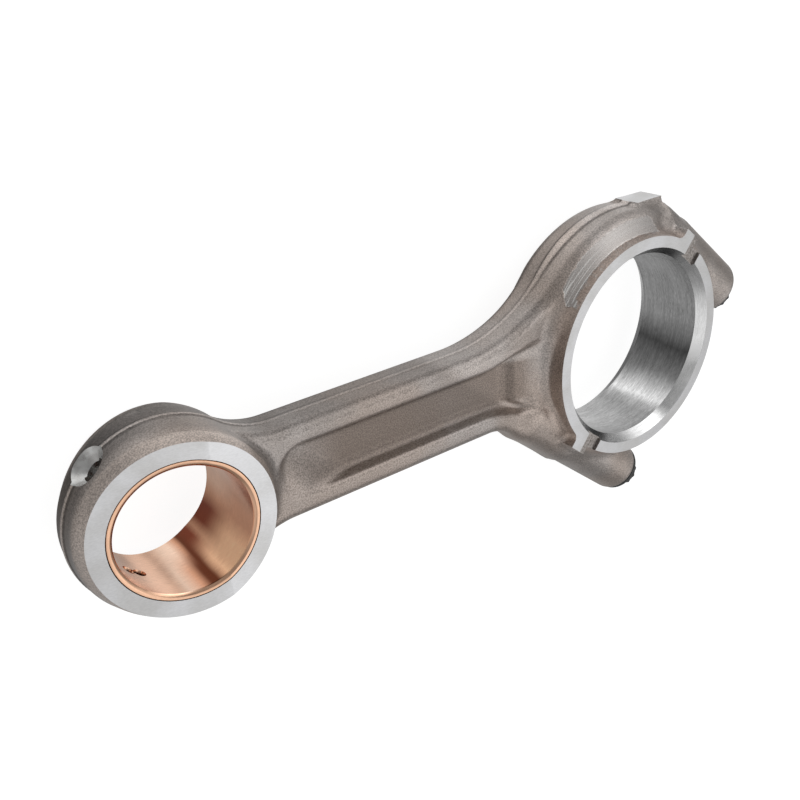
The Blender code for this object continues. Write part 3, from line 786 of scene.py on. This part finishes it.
def bronze():
    """Fine-bored bronze of the bush, copper coloured, with painted reflection bands round its bore, a dark
    brown one and pale glints.
    """
    s = Shader("bush_bronze", (0.95, 0.64, 0.46), 1.0, 0.2)
    radius, angle, around = s.polar((0, 0, 0))
    marks = s.lay(radius, angle, 0.25, 8.0)
    cloud = s.noise(90, 3)
    # The bore's colour by angle and height is painted reflection: dark brown bands and pale glints.
    pale, rosy, copper = (0.92, 0.57, 0.40), (1.0, 0.58, 0.35), (0.66, 0.33, 0.2)
    glint, brown, dark = (0.95, 0.67, 0.51), (0.25, 0.06, 0.03), (0.12, 0.03, 0.011)
    wander = s.math("ADD", angle, s.times(s.math("SUBTRACT", s.noise(40, 2), 0.5), 5.0))
    lower = s.ramp(wander, ((-180, pale), (-102, pale), (-92, glint), (-84, glint), (-77, copper),
                            (-73, dark), (-62, brown), (-56, copper), (-48, brown), (-34, brown),
                            (-22, copper), (-8, pale), (180, pale)))
    upper = s.ramp(wander, ((-180, pale), (-104, pale), (-96, glint), (-84, copper), (-77, dark), (-71, dark),
                            (-62, rosy), (-40, rosy), (-24, copper), (-4, copper), (24, pale), (180, pale)))
    colour = s.mix(s.spread(s.z, -14, 9), lower, upper)
    bored = s.spread(radius, PIN_RADIUS + 0.4, PIN_RADIUS + 0.1)
    colour = s.mix(bored, (0.7, 0.43, 0.29), colour)
    # Painted shade inside the oil drillings: their walls near black.
    drilled = s.times(s.spread(radius, PIN_RADIUS + 0.3, PIN_RADIUS + 1.2),
                      s.spread(s.math("ABSOLUTE", s.z), 16, 14))
    colour = s.mix(drilled, colour, (0.1, 0.045, 0.03))
    colour = s.scaled(colour, s.spread(marks, 0.3, 0.7, 0.9, 1.08))
    s.paint(s.scaled(colour, s.spread(cloud, 0.3, 0.7, 0.94, 1.04)))
    s.polish(s.spread(cloud, 0.3, 0.7, 0.17, 0.26))
    s.surface.inputs["Anisotropic"].default_value = 0.5
    s.feed(s.surface.inputs["Tangent"], around)
    s.bump(marks, 0.000003, 0.5)
    return s.material


def black_bolt():
    """Phosphated bolt steel."""
    s = Shader("bolt_steel", (0.05, 0.05, 0.052), 0.6, 0.42)
    fine = s.noise(1200, 3)
    s.paint(s.mix(s.spread(fine, 0.35, 0.7), (0.035, 0.035, 0.037), (0.085, 0.083, 0.08)))
    s.polish(s.spread(fine, 0.3, 0.7, 0.36, 0.5))
    s.bump(fine, 0.00002, 0.5)
    return s.material


# ---------------------------------------------------------------- the pieces

FINISHES = ("forged", "faced", "crank_bore", "crank_chamfer", "funnel", "parted")
# Painted reflection bands: reflectance round the crank axis, by degrees from +X, the side away from the shank
BORE_PAINTED_REFLECTIONS = ((-180, 0.4), (-100, 0.42), (-84, 0.45), (-72, 0.3), (-66, 0.42), (-60, 0.8), (-54, 0.62),
               (-48, 0.45), (-40, 0.26), (-30, 0.17), (-21, 0.09), (-12, 0.24), (-2, 0.38), (24, 0.39),
               (180, 0.4))
CHAMFER_PAINTED_REFLECTIONS = ((-180, 0.6), (-156, 0.7), (-132, 0.3), (-118, 0.22), (-96, 0.62), (-84, 0.8), (-72, 0.85),
                  (-60, 0.56), (-48, 0.72), (-24, 1.0), (0, 0.9), (24, 0.75), (60, 0.3), (72, 0.24),
                  (84, 0.3), (108, 0.6), (180, 0.6))


def steel_finishes():
    """The rod's and cap's materials, in the order of FINISHES."""
    return [forged_steel(), faced_steel(),
            turned_steel("honed_steel", CRANK_AT, BORE_PAINTED_REFLECTIONS, 0.3, 0.35, 0.7, 0.2),
            turned_steel("chamfered_steel", CRANK_AT, CHAMFER_PAINTED_REFLECTIONS, 0.26, 0.5, 0.6, 0.07),
            funnel_steel(), dark_steel()]


def forging(name, field, low, high, finishes):
    """A forging with smooth faces, ready for machining."""
    mesh = skin(name, field, low, high)
    for finish in finishes:
        mesh.materials.append(finish)
    return new_object(name, mesh)


def boring(radius, reach, finish, centre):
    """Upright cylinder that reaches as far above mid thickness as below."""
    return turned([(0, reach), (radius, reach), (radius, -reach), (0, -reach)], finish, centre)


def bolt_hole(side, radius, start, end, tip, finish="parted"):
    """Cylinder along a bolt's axis between two distances from the parting plane, with a conical tip."""
    profile = [(0, start), (radius, start), (radius, end), (0, tip)]
    return turned(profile, finish, split_point(side * BOLT_OFFSET, 0), (*CAPWARD, 0), HOLE_ROUND)


def crank_tools():
    """Facing, boring, chamfering and slotting of the big end."""
    centre = (CENTRES, 0, 0)
    slope = CRANK_CHAMFER / CRANK_CHAMFER_DEPTH
    top, bottom = RING_HALF + 8, RING_HALF - 2 * CRANK_CHAMFER_DEPTH
    tools = [block((BIG_END_X[0], -BIG_END_Y, RING_HALF), (BIG_END_X[1], BIG_END_Y, FAR), "faced"),
             block((BIG_END_X[0], -BIG_END_Y, -FAR), (BIG_END_X[1], BIG_END_Y, -RING_HALF), "faced"),
             boring(CRANK_RADIUS, RING_HALF + 3, "crank_bore", centre)]
    for side in (1, -1):
        cone = [(0, side * top), (CRANK_RADIUS + CRANK_CHAMFER + slope * (top - RING_HALF), side * top),
                (CRANK_RADIUS - CRANK_CHAMFER, side * bottom), (0, side * bottom)]
        tools.append(turned(cone, "crank_chamfer", centre))
    for u in (1, -1):
        for z in (1, -1):
            along = sorted(u * end for end in SLOT_ALONG)
            up = sorted((z * (RING_HALF - SLOT_DEPTH), z * (RING_HALF + 4)))
            tools.append(block((along[0], -SLOT_HALF, up[0]), (along[1], SLOT_HALF, up[1]), "parted",
                               at_split=True))
    return tools


def finish_piece(piece, body, node):
    """Shades a piece smooth with crisp machined edges and ties it to the frame."""
    piece.data.shade_smooth()
    piece.data.set_sharp_from_angle(angle=math.radians(32))
    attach(piece, body)
    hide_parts(node)


def taper_tool(side):
    """Prism that faces the small end on one side, along its leaning outer part and its flat part."""
    near, far, half = TAPER_START + 60, -60, 60
    section = [(near, EYE_HALF), (TAPER_START, EYE_HALF), (far, face_level(far)), (far, FAR), (near, FAR)]
    bm = bmesh.new()
    ends = [[bm.verts.new((x, y, side * z)) for x, z in section] for y in (-half, half)]
    count = len(section)
    for i in range(count):
        j = (i + 1) % count
        bm.faces.new((ends[0][i], ends[0][j], ends[1][j], ends[1][i]))
    bm.faces.new(reversed(ends[0]))
    bm.faces.new(ends[1])
    return tool_object("taper", bm, "faced")


def make_rod(finishes):
    """The rod forging, machined."""
    rod = forging("forged_rod", rod_field, *ROD_ROOM, finishes)
    tools = crank_tools() + [taper_tool(1), taper_tool(-1)]
    tools.append(boring(BUSH_RADIUS + GAP, FAR, "parted", (0, 0, 0)))
    tools.append(block((260, PAD_Y, -12), (290, 90, 12), "faced"))
    tools.append(block((-120, -GAP / 2, -FAR), (120, 80, FAR), "parted", at_split=True))
    for side in (1, -1):
        tools.append(bolt_hole(side, TAPPED_RADIUS, 5, -TAPPED_DEPTH, -TAPPED_DEPTH - DRILL_POINT))
    for turn in FUNNEL_TURNS:
        way = Vector((math.cos(math.radians(turn)), math.sin(math.radians(turn)), 0))
        tools.append(turned(FUNNEL_PROFILE, "funnel", way * FUNNEL_FLOOR, way, 96))
    cut(rod, tools + drill_tools())
    finish_piece(rod, "rod", "rod_body")


def make_cap(finishes):
    """The cap forging, machined."""
    cap = forging("forged_cap", cap_field, *CAP_ROOM, finishes)
    tools = crank_tools()
    tools.append(block((-120, -80, -FAR), (120, GAP / 2, FAR), "parted", at_split=True))
    for side in (1, -1):
        tools.append(bolt_hole(side, CLEARANCE_RADIUS, 80, -5, -5))
        tools.append(bolt_hole(side, SEAT_RADIUS, 70, SEAT, SEAT, "faced"))
    cut(cap, tools)
    finish_piece(cap, "cap", "big_end_cap")


def lofted(name, rings):
    """Closed surface through rings of equal count, its ends closed by a point each."""
    bm = bmesh.new()
    loops = [[bm.verts.new(point) for point in ring] for ring in rings]
    count = len(rings[0])
    for lower, upper in zip(loops, loops[1:]):
        for i in range(count):
            j = (i + 1) % count
            bm.faces.new((lower[i], lower[j], upper[j], upper[i]))
    for loop in (loops[0], loops[-1]):
        middle = bm.verts.new(sum((vertex.co for vertex in loop), Vector()) / count)
        for i in range(count):
            bm.faces.new((loop[i], loop[(i + 1) % count], middle))
    return closed_mesh(name, bm)


def make_bush():
    """The bush: bored, chamfered along the leaning faces at both ends, and drilled."""
    profile = [(BUSH_RADIUS, 0.4), (BUSH_RADIUS - 0.3, 0), (PIN_RADIUS + 1.3, 0), (PIN_RADIUS + 1.0, 0.15),
               (PIN_RADIUS + 0.15, 0.8), (PIN_RADIUS, 1.0)]
    bm = bmesh.new()
    loops = []
    for i in range(ROUND):
        angle = 2 * math.pi * i / ROUND
        column = []
        for side in (1, -1):
            for radius, drop in profile[::side]:
                x, y = radius * math.cos(angle), radius * math.sin(angle)
                column.append(bm.verts.new((x, y, side * (face_level(x) - drop))))
        loops.append(column)
    count = len(loops[0])
    for i in range(ROUND):
        here, after = loops[i - 1], loops[i]
        for k in range(count):
            bm.faces.new((here[k], here[(k + 1) % count], after[(k + 1) % count], after[k]))
    bush = new_object("bronze_bush", closed_mesh("bush", bm))
    bush.data.materials.append(bronze())
    bush.data.materials.append(dark_steel())
    tools = drill_tools()
    for tool in tools:
        for face in tool.data.polygons:
            face.material_index = 0
    cut(bush, tools)
    finish_piece(bush, "rod", "small_end_bush")


def drill_tools():
    """Two oil drillings under each funnel."""
    inner, outer = DRILLING_REACH
    flared = DRILLING_RADIUS + DRILLING_FLARE
    hole = [(0, outer), (DRILLING_RADIUS, outer), (DRILLING_RADIUS, DRILLING_MOUTH[1]),
            (flared, DRILLING_MOUTH[0]), (flared, inner), (0, inner)]
    tools = []
    for turn in FUNNEL_TURNS:
        for spread in (-DRILLING_SPREAD, DRILLING_SPREAD):
            angle = math.radians(turn + spread)
            way = (math.cos(angle), math.sin(angle), 0)
            tools.append(turned(hole, "parted", (0, 0, 0), way, 48))
    return tools


def bolt_levels():
    """Heights above the seat with radii, from tip to head. A radius may be a function of the turn."""
    def thread(z):
        taper = TIP_RADIUS + (z + SEAT + BOLT_DEPTH) * THREAD_LEAD_IN

        def radius(turn):
            phase = (z / THREAD_PITCH - turn) % 1
            return min(BOLT_RADIUS - THREAD_DEPTH * (1 - abs(2 * phase - 1)), taper)
        return radius

    def star(turn):
        phase = (turn * HEAD_POINTS) % 1
        return HEAD_ROOT + (HEAD_TIP - HEAD_ROOT) * abs(2 * phase - 1)

    tip = -SEAT - BOLT_DEPTH
    levels = [(tip + 0.6, 3.0), (tip, 3.6), (tip, TIP_RADIUS)]
    steps = int((THREAD_LENGTH - 1) / THREAD_STEP)
    heights = [tip + 0.5 + THREAD_STEP * i for i in range(steps)]
    levels += [(height, thread(height)) for height in heights]
    start = tip + THREAD_LENGTH
    levels += [(start, 6.1), (start + 1, WAIST), (-16, WAIST), (-14.5, BOLT_RADIUS), (GAP, BOLT_RADIUS),
               (GAP, FLANGE_RADIUS - 0.4), (GAP + 0.4, FLANGE_RADIUS), (2, FLANGE_RADIUS),
               (2.8, FLANGE_RADIUS - 0.8), (3, FLANGE_RADIUS - 1.4), (3.1, HEAD_TIP + 0.6), (3.6, star),
               (10, star), (10.6, HEAD_ROOT), (10.9, HEAD_ROOT - 1), (10.9, 5.6), (10.1, 5.0)]
    return levels


def make_bolts():
    """Two cap bolts with a real thread, a waist, a flange and a twelve-point head."""
    material = black_bolt()
    turn = Vector((*CAPWARD, 0)).to_track_quat("Z", "Y").to_matrix().to_4x4()
    rings = []
    for height, size in bolt_levels():
        ring = []
        for i in range(BOLT_ROUND):
            share = i / BOLT_ROUND
            radius, angle = size(share) if callable(size) else size, 2 * math.pi * share
            ring.append((radius * math.cos(angle), radius * math.sin(angle), height))
        rings.append(ring)
    for side, where in ((1, "upper"), (-1, "lower")):
        mesh = lofted(f"bolt_{where}", rings)
        mesh.transform(Matrix.Translation(split_point(side * BOLT_OFFSET, SEAT) * MM) @ turn)
        bolt = new_object(f"flanged_bolt_{where}", mesh)
        mesh.materials.append(material)
        finish_piece(bolt, f"{where}_bolt", f"cap_bolt_{where}")


# ---------------------------------------------------------------- studio

GROUND, BELOW, SKY = 0.1, 0.56, 0.34   # radiance straight down, under the horizon and above
# Azimuth, elevation, full radius and outer radius in degrees, and strength
SCREENS = ((-46, 56, 9, 36, 0.75), (4, 54, 8, 34, 0.6), (-92, 60, 8, 30, 0.4), (-158, 20, 16, 46, 0.45),
           (84, -36, 12, 36, 0.55), (18, -38, 8, 24, 0.55), (54, 27, 10, 30, 0.9))
FLOOR_PROFILE = ((5, -0.0002), (5.6, 0.1), (5.9, 0.4), (6, 1), (6, 8))  # radius and height in metres


def make_floor():
    """Plain pale floor that turns up into a wall far off and glows like a light table.

    It sends no light to the rod and hides none, so undersides see the dim surroundings below it.
    """
    turns = [2 * math.pi * i / COVE_SIDES for i in range(COVE_SIDES)]
    bm = bmesh.new()
    loops = [[bm.verts.new((radius * math.cos(turn), radius * math.sin(turn), height)) for turn in turns]
             for radius, height in FLOOR_PROFILE]
    bm.faces.new(loops[0])
    for lower, upper in zip(loops, loops[1:]):
        for i in range(COVE_SIDES):
            bm.faces.new((lower[i - 1], upper[i - 1], upper[i], lower[i]))
    mesh = bpy.data.meshes.new("floor")
    bm.to_mesh(mesh)
    bm.free()
    mesh.shade_smooth()
    floor = bpy.data.objects.new("floor", mesh)
    bpy.context.scene.collection.objects.link(floor)
    material = bpy.data.materials.new("pale_floor")
    material.use_nodes = True
    surface = material.node_tree.nodes["Principled BSDF"]
    surface.inputs["Base Color"].default_value = (0.25, 0.25, 0.25, 1)
    surface.inputs["Roughness"].default_value = 0.9
    surface.inputs["Specular IOR Level"].default_value = 0.1
    surface.inputs["Emission Color"].default_value = (1, 1, 1, 1)
    surface.inputs["Emission Strength"].default_value = 0.9
    mesh.materials.append(material)
    floor.visible_diffuse = floor.visible_glossy = floor.visible_shadow = False


def softbox(name, direction, distance, size, strength):
    """Square area light that faces the object from a direction; strength is its radiance."""
    data = bpy.data.lights.new(name, "AREA")
    data.shape = "RECTANGLE"
    data.size, data.size_y = size
    data.energy = strength * math.pi * size[0] * size[1]
    light = bpy.data.objects.new(name, data)
    out = Vector(direction).normalized()
    light.location = out * distance
    light.rotation_euler = out.to_track_quat("Z", "Y").to_euler()
    bpy.context.scene.collection.objects.link(light)


def aim(azimuth, elevation):
    """Unit vector from two angles in degrees."""
    around, up = math.radians(azimuth), math.radians(elevation)
    return math.cos(around) * math.cos(up), math.sin(around) * math.cos(up), math.sin(up)


def make_lights():
    """Studio: soft surroundings that darken downwards, pale screens round the object and a soft box."""
    world = bpy.data.worlds.new("surroundings")
    bpy.context.scene.world = world
    world.use_nodes = True
    g = Graph(world.node_tree)
    way = g.node("ShaderNodeTexCoord").outputs["Generated"]
    height = g.node("ShaderNodeSeparateXYZ", Vector=way).outputs[2]

    def patch(azimuth, elevation, inner, outer, strength):
        close = g.vector("DOT_PRODUCT", way, aim(azimuth, elevation))
        return g.spread(close, math.cos(math.radians(outer)), math.cos(math.radians(inner)), 0.0, strength)

    light = g.math("ADD", g.spread(height, -0.97, -0.72, GROUND, BELOW),
                   g.spread(height, -0.4, 0.1, 0.0, SKY - BELOW))
    for values in SCREENS:
        light = g.math("ADD", light, patch(*values))
    light = g.math("MAXIMUM", light, 0.02)
    background = world.node_tree.nodes["Background"]
    background.inputs["Color"].default_value = (1, 1, 1, 1)
    g.feed(background.inputs["Strength"], light)
    softbox("softbox", aim(60, 40), 1.6, (0.9, 0.9), 0.9)


def make_camera():
    """Camera of normal length, rolled so that the shank runs up to the right."""
    data = bpy.data.cameras.new("camera")
    data.lens = LENS
    data.clip_start, data.clip_end = 0.01, 20
    camera = bpy.data.objects.new("camera", data)
    camera.location = to_frame(CAMERA_AT)
    camera.rotation_euler = [math.radians(angle) for angle in CAMERA_TURN]
    bpy.context.scene.collection.objects.link(camera)
    bpy.context.scene.camera = camera


def main():
    finishes = steel_finishes()
    make_rod(finishes)
    make_cap(finishes)
    make_bush()
    make_bolts()
    make_floor()
    make_lights()
    make_camera()
    bpy.context.scene.view_settings.view_transform = "Standard"


main()
